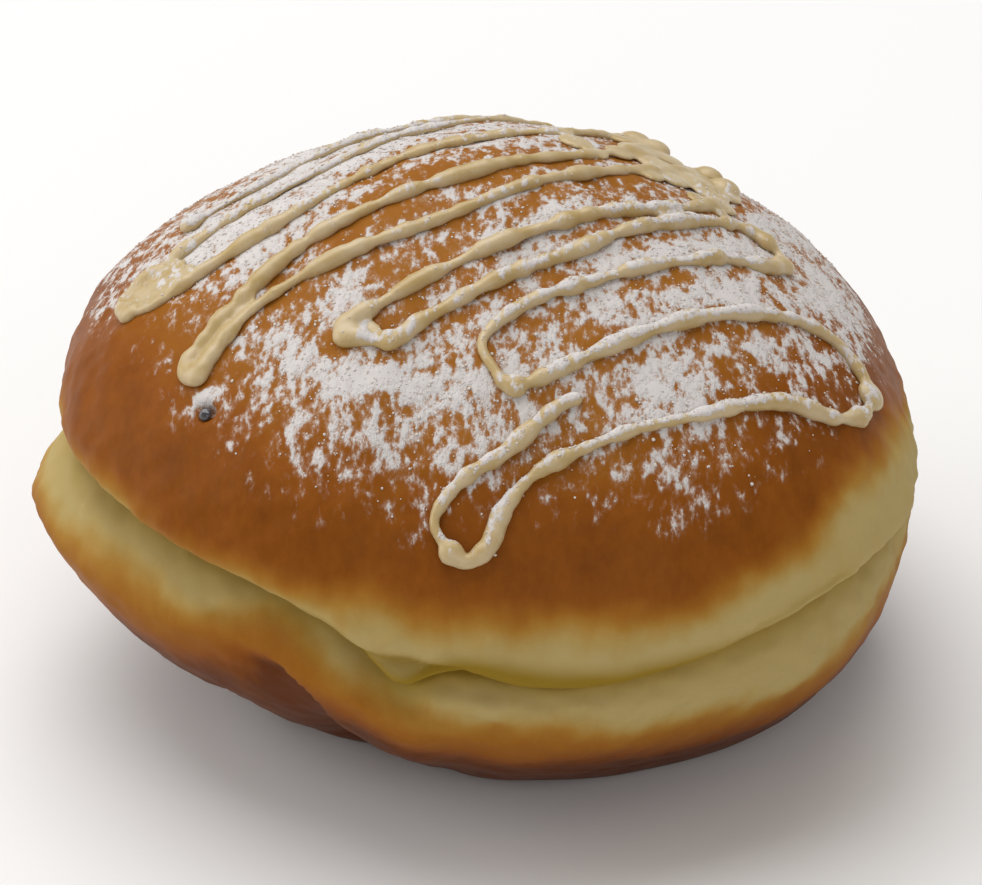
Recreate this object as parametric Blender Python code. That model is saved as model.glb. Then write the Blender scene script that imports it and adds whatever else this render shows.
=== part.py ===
"""A round filled doughnut (beignet): a fried bun with a browned cap, a pale seam round its side and
a thick drizzle of icing piped in one zigzag over the top. Units are metres, +Z is up, the front of
the bun faces -Y and it rests on the flat of its base at z = 0.

The bun is a primitive sphere whose points are moved by one formula of bearing and latitude: an upper
lobe and a lower lobe, each a superellipse, meet at a creased seam whose height changes with the
bearing. The drizzle is a set of round strands, one for each pass of the zigzag, laid on the bun and
joined to it by one Boolean union on a collection. Bearings run counterclockwise from +X, so 270 is
the front, 180 the left and 0 the right. Latitudes are seen from the bun's centre.
"""
import bmesh
import bpy
import numpy as np

MM = 0.001

# Bun, in millimetres and degrees
CENTRE_HEIGHT = 20.0
CAP_RISE = 36.3
CAP_POWER = 1.73
CAP_START = 3.5
LOBE_DROP = 29.5
LIP_BLEND = 0.8
PLACE_X = 1.0
PLACE_Y = 0.7

# Seam height, groove depth, cap radius, and the lower lobe's radius, fullness and start above its
# widest part, each as (bearing, value) keys
SEAM_LATITUDE = (
    (0, 6.0), (50, 8.5), (110, 10.0), (160, 12.3), (188, 13.2), (205, 13.2), (218, 12.6),
    (230, 11.7), (239, 11.0), (247, 9.3), (252, 7.3), (256, 4.0), (260, 1.8), (264, 3.3), (268, 3.4),
    (274, 2.0), (281, 1.2), (290, 1.9), (298, 3.3), (306, 4.8), (314, 6.0), (322, 6.5), (331, 6.0),
    (345, 5.4),
)
GROOVE_DEPTH = (
    (0, 1.8), (90, 2.2), (180, 2.0), (225, 2.0), (247, 1.5), (262, 1.8), (300, 2.1), (335, 1.6),
)
CAP_RADIUS = (
    (0, 44.8), (45, 44.7), (90, 44.5), (135, 46.0), (180, 46.0), (205, 47.8), (230, 47.6),
    (270, 47.3), (315, 49.2),
)
LOBE_RADIUS = (
    (0, 44.3), (60, 45.4), (120, 45.6), (165, 43.5), (188, 47.6), (210, 46.5), (235, 43.8),
    (252, 45.2), (270, 45.0), (300, 45.2), (320, 45.0), (335, 44.4),
)
LOBE_POWER = (
    (0, 2.15), (90, 2.2), (180, 1.35), (225, 1.5), (250, 1.42), (270, 1.52), (281, 1.54),
    (300, 1.74), (320, 2.08), (340, 2.2),
)
LOBE_START = (
    (0, 9.0), (45, 11.0), (180, 11.0), (225, 11.0), (248, 9.0), (262, 5.0), (275, 4.0), (320, 4.0),
    (340, 7.0),
)

# Reach of the groove in degrees above and below the seam, and the droop of the lip over it
GROOVE_ABOVE = 2.4
GROOVE_BELOW = ((0, 4.0), (90, 4.0), (170, 2.2), (205, 2.4), (240, 3.5), (262, 5.0), (320, 5.0))
GROOVE_POWER = 1.4
LIP_DROOP = 0.9
LIP_AT = 4.0
LIP_WIDTH = 3.0

# Dents under the side: (bearing, depth, width in degrees)
UNDER_DENTS = ((247, 1.6, 5.0), (260, 0.8, 5.0), (223, 1.5, 6.0))
DENT_TOP = -8.0
DENT_FADE = 16.0

# Folds near the seam: (bearing, latitude) of both ends, half width in degrees, depth
FOLDS = (
    ((254, 6.8), (266, 5.8), 1.4, 0.9),
    ((262, -2.6), (272, -5.0), 1.6, 0.7),
)

# Slow unevenness of the crust: (depth, waves round, waves up, phase)
WAVES = ((0.35, 3, 2.0, 0.4), (0.25, 5, 3.0, 2.1), (0.18, 8, 5.0, 4.0))

# Small pit in the crust at the front left
PIT_BEARING = 225.0
PIT_LATITUDE = 29.5
PIT_RADIUS = 1.3

# Mesh of the bun
SEGMENTS = 64
RINGS = 38
BASE_SHARE = 0.86
CAP_GATHER = 1.5
LOBE_GATHER = 1.3
BASE_LATITUDES = (-80.0, -12.0)
CAP_LATITUDES = (8.0, 90.0)
HALVINGS = 40

# Drizzle, in millimetres, with the steps of a line between corners and of a normal in degrees
STRAND_RADIUS = 0.95
STRAND_LIFT = 0.35
STRAND_STEP = 3.0
CORNER_STEPS = 12
NORMAL_STEP = 0.5
WELD = 0.001
BLOB_SEGMENTS = 10
BLOB_RINGS = 7
BLOB_LIFT = 0.2

# Each pass of the zigzag, from the loop at the front to the back: (x, y) seen from above
PASSES = (
    ((9, -30.5), (6.5, -31.5), (1.5, -35.5), (-2, -37.5), (-4.5, -39.5), (-5, -41), (-2.5, -43)),
    ((-2.5, -43), (0, -42), (1.5, -39.5), (5, -36.5), (12, -33.5), (20, -30.5), (28, -26),
     (33, -24), (36, -21), (37.5, -17.5)),
    ((37.5, -17.5), (37, -14.5), (34.5, -12.5), (30.5, -13.5), (26, -16.5), (20, -20.5),
     (12.5, -25), (7, -28), (2.5, -30)),
    ((2.5, -30), (0.5, -28.5), (-0.5, -25.5), (4, -21.5), (11, -18), (18.5, -13.5), (23, -9.5),
     (27.5, -6.5), (29.5, -3.5)),
    ((29.5, -3.5), (29, -0.5), (26, 0.5), (21.5, -3), (17, -7.5), (9, -14.5), (1, -19), (-6, -23),
     (-9, -25.5), (-12, -25)),
    ((-12, -25), (-14, -23.5), (-10, -21), (-5.5, -18), (1, -14.5), (9, -10), (17, -4.5),
     (22, 1.5), (24.5, 8), (25, 14)),
    ((25, 14), (22, 14), (17, 7), (11, 0), (3, -6), (-5.5, -11), (-14.5, -14.5),
     (-23, -18.5), (-28, -23.5)),
    ((-28, -23.5), (-29, -21.5), (-26, -18.5), (-18.5, -11.5), (-10, -7), (-1, -3), (7, 2),
     (13, 9), (17, 17), (17.5, 20)),
    ((17.5, 20), (14.5, 20), (7.5, 11.5), (-1, 6), (-9, 2.5), (-15, -2), (-21.5, -6.5), (-28, -9.5),
     (-33, -11), (-36, -8.5)),
    ((-36, -8.5), (-36, -5.5), (-31, -3), (-21, 3), (-11, 9.5), (-2, 17), (5, 24), (10, 29)),
    ((10, 29), (8, 31), (3, 28), (-3, 22.5), (-10, 16), (-20, 9.5), (-30, 4)),
)

# Thicker drops where the strand turned: (x, y, radius)
BLOBS = (
    (-3.5, -42.5, 1.3), (37.5, -16.5, 1.7), (36, -21, 1.3), (2.5, -30, 1.3), (29.5, -3.5, 1.4),
    (28, 0, 1.4), (-9.5, -25.5, 1.6), (-13.5, -24.5, 1.9), (24.5, 11, 1.7), (23, 14, 1.6),
    (-28, -23.5, 1.9), (17.5, 18, 1.7), (15.5, 20.5, 1.9), (-35.5, -9.5, 1.9), (9.5, 30, 1.6),
    (-30, 4, 1.5),
)

# Materials: linear colour and roughness
CRUST = ("crust", (0.30, 0.10, 0.02), 0.55)
ICING = ("icing", (0.62, 0.54, 0.36), 0.35)


def by_bearing(bearing, keys):
    """The value at each bearing of a closed smooth curve through the keys."""
    at = np.array([key[0] for key in keys], float)
    value = np.array([key[1] for key in keys], float)
    at = np.concatenate([at - 360, at, at + 360])
    value = np.tile(value, 3)
    slope = np.gradient(value, at)
    turn = np.mod(bearing, 360)
    i = np.searchsorted(at, turn, side="right") - 1
    gap = at[i + 1] - at[i]
    s = (turn - at[i]) / gap
    near = (1 + 2 * s) * (1 - s) ** 2 * value[i] + s * s * (3 - 2 * s) * value[i + 1]
    return near + gap * (s * (1 - s) ** 2 * slope[i] - s * s * (1 - s) * slope[i + 1])


def turn_between(bearing, centre):
    """Signed degrees from the centre bearing, between -180 and 180."""
    return (bearing - centre + 180) % 360 - 180


def superellipse(latitude, across, upright, power):
    """The distance from the centre of a superellipse, at a latitude in degrees."""
    level = np.abs(np.cos(np.radians(latitude))) / across
    rise = np.abs(np.sin(np.radians(latitude))) / upright
    return (level ** power + rise ** power) ** (-1 / power)


def from_fold(bearing, latitude, start, end):
    """Degrees on the surface from the line between two (bearing, latitude) points."""
    run = (end[0] - start[0], end[1] - start[1])
    off_x = turn_between(bearing, start[0])
    off_y = latitude - start[1]
    share = np.clip((off_x * run[0] + off_y * run[1]) / (run[0] ** 2 + run[1] ** 2), 0, 1)
    return np.hypot(off_x - share * run[0], off_y - share * run[1])


def bun_radius(bearing, latitude):
    """Distance in millimetres from the bun's centre to its surface."""
    seam = by_bearing(bearing, SEAM_LATITUDE)
    above = latitude - seam
    cap_latitude = -CAP_START + (90 + CAP_START) * above / (90 - seam)
    cap = superellipse(cap_latitude, by_bearing(bearing, CAP_RADIUS), CAP_RISE, CAP_POWER)
    lobe_start = by_bearing(bearing, LOBE_START)
    lobe_latitude = lobe_start + (90 + lobe_start) * above / (90 + seam)
    lobe = superellipse(
        lobe_latitude, by_bearing(bearing, LOBE_RADIUS), LOBE_DROP, by_bearing(bearing, LOBE_POWER)
    )
    radius = lobe + (cap - lobe) / (1 + np.exp(-above / LIP_BLEND))
    reach = np.where(above > 0, GROOVE_ABOVE, by_bearing(bearing, GROOVE_BELOW))
    radius -= by_bearing(bearing, GROOVE_DEPTH) * np.exp(-((np.abs(above) / reach) ** GROOVE_POWER))
    low = np.clip((DENT_TOP - latitude) / DENT_FADE, 0, 1)
    for centre, depth, width in UNDER_DENTS:
        radius -= depth * low * np.exp(-((turn_between(bearing, centre) / width) ** 2))
    for start, end, width, depth in FOLDS:
        radius -= depth * np.exp(-((from_fold(bearing, latitude, start, end) / width) ** 2))
    for depth, around, upward, phase in WAVES:
        turn = np.sin(around * np.radians(bearing) + phase)
        rise = np.cos(upward * np.radians(latitude) + phase)
        radius += depth * turn * rise * np.cos(np.radians(latitude))
    return radius


def bun_points(bearing, latitude):
    """Points of the bun's surface in metres. The lower edge of the cap droops a little over the seam."""
    radius = bun_radius(bearing, latitude)
    level = radius * np.cos(np.radians(latitude))
    above = latitude - by_bearing(bearing, SEAM_LATITUDE)
    droop = LIP_DROOP * np.exp(-(((above - LIP_AT) / LIP_WIDTH) ** 2))
    x = PLACE_X + level * np.cos(np.radians(bearing))
    y = PLACE_Y + level * np.sin(np.radians(bearing))
    z = CENTRE_HEIGHT + radius * np.sin(np.radians(latitude)) - droop
    return np.stack([x, y, z], axis=-1) * MM


def halve(low, high, beyond):
    """The value between low and high at which beyond(value) turns from false to true, by halving."""
    for _ in range(HALVINGS):
        middle = (low + high) / 2
        past = beyond(middle)
        high = np.where(past, middle, high)
        low = np.where(past, low, middle)
    return (low + high) / 2


def base_latitude(bearing):
    """The latitude at which the surface comes down to the ground."""
    low, high = (np.full_like(bearing, end) for end in BASE_LATITUDES)
    return halve(low, high, lambda latitude: bun_points(bearing, latitude)[..., 2] > 0)


def on_cap(x, y):
    """The point of the cap at (x, y) millimetres from the bun's axis, and the outward normal there."""
    bearing = np.degrees(np.arctan2(y, x)) % 360
    reach = np.hypot(x, y)

    def within(latitude):
        return bun_radius(bearing, latitude) * np.cos(np.radians(latitude)) < reach

    low, high = (np.full_like(reach, end) for end in CAP_LATITUDES)
    latitude = halve(low, high, within)
    point = bun_points(bearing, latitude)
    east = bun_points(bearing + NORMAL_STEP, latitude) - point
    north = bun_points(bearing, latitude + NORMAL_STEP) - point
    normal = np.cross(east, north)
    return point, normal / np.linalg.norm(normal, axis=-1, keepdims=True)


def smooth_line(corners, step):
    """Evenly spaced points on a smooth curve through the corners, about one step apart."""
    corners = np.array(corners, float)
    before = 2 * corners[0] - corners[1]
    after = 2 * corners[-1] - corners[-2]
    ends = np.vstack([before, corners, after])
    t = np.linspace(0, 1, CORNER_STEPS, endpoint=False)[:, None]
    parts = []
    for a, b, c, d in zip(ends, ends[1:], ends[2:], ends[3:]):
        bend = t * (2 * a - 5 * b + 4 * c - d + t * (3 * (b - c) + d - a))
        parts.append(b + 0.5 * t * (c - a + bend))
    fine = np.vstack(parts + [corners[-1:]])
    run = np.concatenate([[0], np.cumsum(np.linalg.norm(np.diff(fine, axis=0), axis=1))])
    at = np.linspace(0, run[-1], max(2, round(run[-1] / step) + 1))
    return np.stack([np.interp(at, run, fine[:, k]) for k in range(2)], axis=-1)


def clear_scene():
    for obj in list(bpy.data.objects):
        bpy.data.objects.remove(obj, do_unlink=True)


def make_material(name, colour, roughness):
    material = bpy.data.materials.new(name)
    material.use_nodes = True
    shader = material.node_tree.nodes["Principled BSDF"]
    shader.inputs["Base Color"].default_value = (*colour, 1)
    shader.inputs["Roughness"].default_value = roughness
    shader.inputs["Metallic"].default_value = 0
    return material


def make_bun():
    """The primitive sphere with its rings gathered at the seam and every point moved by the formula."""
    bpy.ops.mesh.primitive_uv_sphere_add(segments=SEGMENTS, ring_count=RINGS, radius=1.0)
    bun = bpy.context.object
    bun.name = "beignet"
    co = np.empty(len(bun.data.vertices) * 3)
    bun.data.vertices.foreach_get("co", co)
    co = co.reshape(-1, 3)
    bearing = np.degrees(np.arctan2(co[:, 1], co[:, 0])) % 360
    height = np.degrees(np.arcsin(np.clip(co[:, 2], -1, 1))) / 90
    seam = by_bearing(bearing, SEAM_LATITUDE)
    up = seam + (90 - seam) * np.clip(height, 0, 1) ** CAP_GATHER
    side = np.clip(-height / BASE_SHARE, 0, 1)
    down = seam + (base_latitude(bearing) - seam) * side ** LOBE_GATHER
    points = bun_points(bearing, np.where(height >= 0, up, down))
    inward = np.clip((-height - BASE_SHARE) / (1 - BASE_SHARE), 0, 1)[:, None]
    base_centre = np.array([PLACE_X, PLACE_Y, 0]) * MM
    points = points * (1 - inward) + base_centre * inward
    points[side >= 1, 2] = 0
    bun.data.vertices.foreach_set("co", points.ravel())
    bun.data.update()
    return bun


def make_strand(name, corners):
    """One pass of the drizzle: a round closed tube along a smooth line on the cap."""
    line = smooth_line(corners, STRAND_STEP)
    points, normals = on_cap(line[:, 0], line[:, 1])
    points = points + normals * STRAND_LIFT * MM
    curve = bpy.data.curves.new(name, "CURVE")
    curve.dimensions = "3D"
    curve.bevel_depth = STRAND_RADIUS * MM
    curve.bevel_resolution = 1
    curve.use_fill_caps = True
    spline = curve.splines.new("POLY")
    spline.points.add(len(points) - 1)
    for spot, point in zip(spline.points, points):
        spot.co = (*point, 1)
    guide = bpy.data.objects.new(name + "_guide", curve)
    bpy.context.scene.collection.objects.link(guide)
    bpy.context.view_layer.update()
    graph = bpy.context.evaluated_depsgraph_get()
    mesh = bpy.data.meshes.new_from_object(guide.evaluated_get(graph))
    bpy.data.objects.remove(guide, do_unlink=True)
    shape = bmesh.new()
    shape.from_mesh(mesh)
    bmesh.ops.remove_doubles(shape, verts=shape.verts, dist=WELD * MM)
    bmesh.ops.recalc_face_normals(shape, faces=shape.faces)
    shape.to_mesh(mesh)
    shape.free()
    return bpy.data.objects.new(name, mesh)


def make_ball(name, centre, radius):
    """A round ball, used for the drops of icing and for the pit."""
    mesh = bpy.data.meshes.new(name)
    shape = bmesh.new()
    bmesh.ops.create_uvsphere(
        shape, u_segments=BLOB_SEGMENTS, v_segments=BLOB_RINGS, radius=radius * MM
    )
    bmesh.ops.translate(shape, verts=shape.verts, vec=centre)
    shape.to_mesh(mesh)
    shape.free()
    return bpy.data.objects.new(name, mesh)


def make_drizzle():
    """All strands and drops of the icing, still as separate objects."""
    pieces = []
    for i, corners in enumerate(PASSES):
        pieces.append(make_strand(f"pass_{i}", corners))
    for i, (x, y, radius) in enumerate(BLOBS):
        points, normals = on_cap(np.array([x], float), np.array([y], float))
        pieces.append(make_ball(f"drop_{i}", points[0] + normals[0] * BLOB_LIFT * MM, radius))
    return pieces


def combine(target, operation, pieces):
    """Applies one Boolean of the target with a collection of the pieces, then removes them."""
    tools = bpy.data.collections.new(operation.lower())
    bpy.context.scene.collection.children.link(tools)
    for piece in pieces:
        tools.objects.link(piece)
    modifier = target.modifiers.new(operation.lower(), "BOOLEAN")
    modifier.operation = operation
    modifier.operand_type = "COLLECTION"
    modifier.collection = tools
    modifier.material_mode = "TRANSFER"
    bpy.context.view_layer.objects.active = target
    bpy.ops.object.modifier_apply(modifier=modifier.name)
    for piece in pieces:
        bpy.data.objects.remove(piece, do_unlink=True)
    bpy.data.collections.remove(tools)


def main():
    clear_scene()
    crust = make_material(*CRUST)
    icing = make_material(*ICING)
    bun = make_bun()
    bun.data.materials.append(crust)
    pit_centre = bun_points(np.array([PIT_BEARING]), np.array([PIT_LATITUDE]))[0]
    combine(bun, "DIFFERENCE", [make_ball("pit", pit_centre, PIT_RADIUS)])
    drizzle = make_drizzle()
    for piece in drizzle:
        piece.data.materials.clear()
        piece.data.materials.append(icing)
    combine(bun, "UNION", drizzle)
    bun.data.shade_smooth()
    home = bpy.data.collections.new("beignet")
    bpy.context.scene.collection.children.link(home)
    for old in list(bun.users_collection):
        old.objects.unlink(bun)
    home.objects.link(bun)


main()
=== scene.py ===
"""The looks of a round filled doughnut: the fried dough with its pale band, the zigzag of icing, the
dusted sugar with its lumps, and the bead of filling that shows in a small pit.

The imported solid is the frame. These pieces stand for it and repeat its formulas with finer relief.
Lengths in the formulas are millimetres and angles are degrees; a mesh gets metres. Bearings run
counterclockwise from +X, so 270 is the front, and latitudes are seen from the bun's centre.
"""

import math

import bpy
import numpy as np
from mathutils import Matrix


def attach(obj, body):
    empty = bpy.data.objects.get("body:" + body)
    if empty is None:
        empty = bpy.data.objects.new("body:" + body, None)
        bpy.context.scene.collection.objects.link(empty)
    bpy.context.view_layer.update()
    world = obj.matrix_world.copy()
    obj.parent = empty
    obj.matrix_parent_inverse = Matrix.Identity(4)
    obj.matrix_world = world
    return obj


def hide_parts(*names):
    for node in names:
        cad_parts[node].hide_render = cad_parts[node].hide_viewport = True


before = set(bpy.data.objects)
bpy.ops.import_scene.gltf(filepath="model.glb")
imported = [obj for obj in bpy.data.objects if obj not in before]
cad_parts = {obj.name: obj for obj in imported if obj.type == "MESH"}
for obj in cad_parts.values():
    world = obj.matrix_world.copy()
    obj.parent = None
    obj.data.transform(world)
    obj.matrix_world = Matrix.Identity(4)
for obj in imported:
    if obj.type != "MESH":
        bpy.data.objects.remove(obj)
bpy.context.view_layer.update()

MM = 0.001
SEED = 11

# Bun, as in the solid. A table of pairs holds (bearing, value) keys.
CENTRE_HEIGHT = 20.0
CAP_RISE = 36.3
CAP_POWER = 1.73
CAP_START = 3.5
LOBE_DROP = 29.5
LIP_BLEND = 0.8
PLACE_X = 1.0
PLACE_Y = 0.7
SEAM_LATITUDE = (
    (0, 6.0), (50, 8.5), (110, 10.0), (160, 12.3), (188, 13.2), (205, 13.2), (218, 12.6),
    (230, 11.7), (239, 11.0), (247, 9.3), (252, 7.3), (256, 4.0), (260, 1.8), (264, 3.3), (268, 3.4),
    (274, 2.0), (281, 1.2), (290, 1.9), (298, 3.3), (306, 4.8), (314, 6.0), (322, 6.5), (331, 6.0),
    (345, 5.4),
)
GROOVE_DEPTH = (
    (0, 1.8), (90, 2.2), (180, 2.0), (225, 2.0), (247, 1.5), (262, 1.8), (300, 2.1), (335, 1.6),
)
CAP_RADIUS = (
    (0, 44.8), (45, 44.7), (90, 44.5), (135, 46.0), (180, 46.0), (205, 47.8), (230, 47.6),
    (270, 47.3), (315, 49.2),
)
LOBE_RADIUS = (
    (0, 44.3), (60, 45.4), (120, 45.6), (165, 43.5), (188, 47.6), (210, 46.5), (235, 43.8),
    (252, 45.2), (270, 45.0), (300, 45.2), (320, 45.0), (335, 44.4),
)
LOBE_POWER = (
    (0, 2.15), (90, 2.2), (180, 1.35), (225, 1.5), (250, 1.42), (270, 1.52), (281, 1.54),
    (300, 1.74), (320, 2.08), (340, 2.2),
)
LOBE_START = (
    (0, 9.0), (45, 11.0), (180, 11.0), (225, 11.0), (248, 9.0), (262, 5.0), (275, 4.0), (320, 4.0),
    (340, 7.0),
)
GROOVE_ABOVE = 2.4
GROOVE_BELOW = ((0, 4.0), (90, 4.0), (170, 2.2), (205, 2.4), (240, 3.5), (262, 5.0), (320, 5.0))
GROOVE_POWER = 1.4
LIP_DROOP = 0.9
LIP_AT = 4.0
LIP_WIDTH = 3.0
# Dents (bearing, depth, width), folds (start, end, width, depth), and slow waves of the radius (depth,
# turns round, turns upward, phase)
UNDER_DENTS = ((247, 1.6, 5.0), (260, 0.8, 5.0), (223, 1.5, 6.0))
DENT_TOP = -8.0
DENT_FADE = 16.0
FOLDS = (
    ((254, 6.8), (266, 5.8), 1.4, 0.9),
    ((262, -2.6), (272, -5.0), 1.6, 0.7),
)
WAVES = ((0.35, 3, 2.0, 0.4), (0.25, 5, 3.0, 2.1), (0.18, 8, 5.0, 4.0))
PIT_BEARING = 225.0
PIT_LATITUDE = 29.5
PIT_RADIUS = 1.3
PIT_REACH = 0.75
PIT_RIM = 0.15
PIT_RIM_WIDTH = 0.6

# Thin creases of the pale band: corners as (bearing, latitude), half width in degrees, depth
CREASES = (
    (((254, 7.6), (258, 7.0), (262, 6.6), (265, 6.0), (268, 4.6)), 0.7, 0.6),
    (((261, 2.0), (263, 4.0), (264.5, 1.6), (267, 0.4), (271, 0.2)), 0.7, 0.15),
    (((303, 7.6), (309, 9.0), (316, 9.6)), 0.7, 0.3),
    (((70, 6.5), (84, 7.5), (97, 6.0)), 0.8, 0.4),
    (((140, 8.0), (150, 6.8), (163, 7.5)), 0.8, 0.4),
)
SEAM_CUT_DEPTH = ((0, 0.5), (60, 0.7), (120, 0.7), (200, 0.3), (240, 0.3), (265, 0.9), (320, 0.8))
SEAM_CUT_WIDTH = 0.75

# Fine relief: (share of the cap, share of the pale band, wavelength, depth)
RELIEF = ((0.6, 1.0, 9.0, 0.11), (0.5, 1.0, 3.6, 0.09), (0.5, 0.9, 1.6, 0.035))
RELIEF_WAVES = 28
WAVE_LENGTHS = (0.7, 1.35)
RELIEF_SINK = 0.40
BASE_FADE = 5.0
# Searches by halving, degrees to the side for a normal, and curve points for each corner
GROUND_LATITUDES = (-80.0, -12.0)
LOWEST_ON_CAP = 8.0
HALVINGS = 40
NORMAL_STEP = 0.5
CURVE_POINTS = 12

# Where the crust starts above and below the pale band, as (bearing, latitude) keys
UPPER_BROWN = (
    (0, 14.5), (40, 15.0), (80, 16.5), (120, 15.0), (160, 16.0), (195, 17.4), (213, 17.0),
    (229, 15.2), (240, 15.6), (248, 14.2), (257, 12.6), (271, 12.2), (283, 11.2), (295, 12.2),
    (309, 15.8), (322, 18.2), (337, 18.4),
)
LOWER_BROWN = (
    (0, -4.0), (40, -9.0), (80, -12.0), (120, -6.0), (160, 0.5), (199, 3.2), (213, 4.2),
    (227, 3.4), (240, 5.0), (249, 3.4), (254, 0.6), (260, -2.6), (266, -4.6), (279, -5.9),
    (292, -7.8), (308, -9.9), (320, -8.9), (330, -6.6), (343, -4.5),
)
UPPER_BLEND = 4.5
UPPER_FADE = 7.0
LOWER_BLEND = 3.6
LOWER_FADE = 6.0
LOBE_FADE = 12.0
CAP_BROWN = 0.63
CAP_DEEPER = 0.22
CAP_DEEPER_AT = 7.0
CAP_DEEPER_WIDTH = 11.0
LOBE_GOLD = (
    (0, 0.5), (90, 0.55), (180, 0.55), (210, 0.52), (245, 0.54), (262, 0.55), (300, 0.52), (330, 0.48),
)
LOBE_BROWN = 0.45
BASE_BROWN = 0.3
BASE_EDGE = 8.0
# Wavering of the browned edges: (degrees, wavelength)
BROWN_WAVER = ((0.5, 11.0), (0.2, 3.0))
# Shade in the seam: its share, and the degrees over which it fades above and below
SEAM_SHADE = 0.95
SEAM_SHADE_ABOVE = ((0, 3.0), (200, 2.6), (245, 3.0), (256, 4.4), (265, 5.8), (290, 5.6), (306, 3.6))
SEAM_SHADE_EDGE = 2.6
SEAM_SHADE_BELOW = (
    (0, 3.5), (200, 3.4), (240, 3.6), (256, 3.0), (279, 2.2), (292, 3.0), (306, 4.8), (325, 4.8),
)
# Shade in the thin creases: its share for each millimetre of depth, and its width against theirs
CREASE_SHADE = 1.2
CREASE_SHADE_WIDTH = 1.3
# Fold between the dents at the front left: (latitude, bearing) corners of its sharp edge, and the
# painted shade and hollow on its left with the degrees over which they fade
FOLD_EDGE = ((-25.0, 249.5), (-10.0, 248.6), (-4.6, 248.0), (-1.2, 246.2), (0.8, 243.4), (2.6, 239.0))
FOLD_EDGE_WIDTH = 1.4
FOLD_TOP = 2.4
FOLD_TOP_FADE = 3.0
# Painted shade on the lump left of the fold, added to the browning as extra brown
FOLD_PAINTED_SHADE = 0.42
FOLD_DEPTH = 1.1
FOLD_FADE = 14.0

# Mesh of the dough
COLUMNS = 420
UPPER_ROWS = 132
LOWER_ROWS = 84
FLAT_ROWS = 5
GATHER = 1.35

# Drizzle: corners (x, y) of the zigzag from the loop at the front to the back, and drops (x, y, radius)
DRIZZLE = (
    (9, -30.5), (6.5, -31.5), (1.5, -35.5), (-2, -37.5), (-4.5, -39.5), (-5, -41), (-2.5, -43),
    (0, -42), (1.5, -39.5), (5, -36.5), (12, -33.5), (20, -30.5), (28, -26), (33, -24), (36, -21),
    (37.5, -17.5),
    (37, -14.5), (34.5, -12.5), (30.5, -13.5), (26, -16.5), (20, -20.5), (12.5, -25), (7, -28),
    (2.5, -30),
    (0.5, -28.5), (-0.5, -25.5), (4, -21.5), (11, -18), (18.5, -13.5), (23, -9.5), (27.5, -6.5),
    (29.5, -3.5),
    (29, -0.5), (26, 0.5), (21.5, -3), (17, -7.5), (9, -14.5), (1, -19), (-6, -23), (-9, -25.5),
    (-12, -25),
    (-14, -23.5), (-10, -21), (-5.5, -18), (1, -14.5), (9, -10), (17, -4.5), (22, 1.5), (24.5, 8),
    (25, 14),
    (22, 14), (17, 7), (11, 0), (3, -6), (-5.5, -11), (-14.5, -14.5), (-23, -18.5), (-28, -23.5),
    (-29, -21.5), (-26, -18.5), (-18.5, -11.5), (-10, -7), (-1, -3), (7, 2), (13, 9), (17, 17),
    (17.5, 20),
    (14.5, 20), (7.5, 11.5), (-1, 6), (-9, 2.5), (-15, -2), (-21.5, -6.5), (-28, -9.5), (-33, -11),
    (-36, -8.5),
    (-36, -5.5), (-31, -3), (-21, 3), (-11, 9.5), (-2, 17), (5, 24), (10, 29),
    (8, 31), (3, 28), (-3, 22.5), (-10, 16), (-20, 9.5), (-30, 4),
)
DROPS = (
    (-3.5, -42.5, 1.3), (37.5, -16.5, 1.7), (36, -21, 1.3), (2.5, -30, 1.3), (29.5, -3.5, 1.4),
    (28, 0, 1.4), (-9.5, -25.5, 1.3), (-13.5, -24.5, 1.5), (24.5, 11, 1.7), (23, 14, 1.6),
    (-28, -23.5, 1.4), (17.5, 18, 1.7), (15.5, 20.5, 1.9), (-35.5, -9.5, 1.4), (9.5, 30, 1.6),
    (-30, 4, 1.5),
)
# Strand: half width, height above and depth below its middle, and the middle's lift off the cap
STRAND_HALF_WIDTH = 0.84
STRAND_HEIGHT = 0.88
STRAND_ROOT = 0.45
STRAND_LIFT = -0.2
# Share of the height lost at the back, where the loss starts and the way over which it grows
STRAND_LOW = 0.4
STRAND_LOW_FROM = -6.0
STRAND_LOW_OVER = 12.0
# Swelling along the strand: (share, wavelength), and the range of sizes
STRAND_SWELL = ((0.20, 6.0), (0.12, 2.2))
STRAND_SIZES = (0.7, 1.3)
STRAND_TIP = 0.05
DROP_LIFT = 0.05
DROP_HEIGHT = 0.58
# Low smears where neighbouring turns ran together: (x, y, radius)
SMEARS = (
    (14.5, 17.5, 2.3), (17, 14, 2.0), (12.5, 20.5, 2.0), (21.5, 11, 2.2), (19, 6, 1.8), (22.5, 6, 1.9),
    (24, 4, 1.6), (-33, -9.5, 2.1), (-30.5, -8, 1.9), (-34.5, -7, 1.9), (-31.5, -5.5, 1.7),
    (-11.5, -24.3, 1.5), (-27, -21.5, 1.4), (-23.5, -16.5, 1.2), (-33.5, -5.3, 1.3),
    (-24.2, -18.2, 1.1), (-26.4, -20.2, 1.2), (-28.2, -22.2, 1.2), (11, 6.5, 1.5), (13.5, 9.5, 1.8),
    (15.5, 12.5, 2.4), (18.5, 14.5, 2.2), (21.5, 8.5, 2.4), (12, 17.5, 1.6), (23.5, 1.5, 1.2),
    (9, 8.5, 2.0), (7.5, 11.5, 1.6), (17.5, 9.5, 2.4), (16.5, 4.5, 1.6), (21.3, 2.5, 1.5),
    (24.5, 9.5, 2.0), (-32.3, -7.6, 1.6),
)
SMEAR_HEIGHT = 0.22
SMEAR_LIFT = -0.2
LINE_STEP = 0.35
STRAND_SIDES = 14
DROP_SIDES = 24
DROP_ROWS = 13
FUSE_SIZE = 0.26
FUSE_SMOOTHING = 8
FUSE_FACTOR = 0.5

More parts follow.
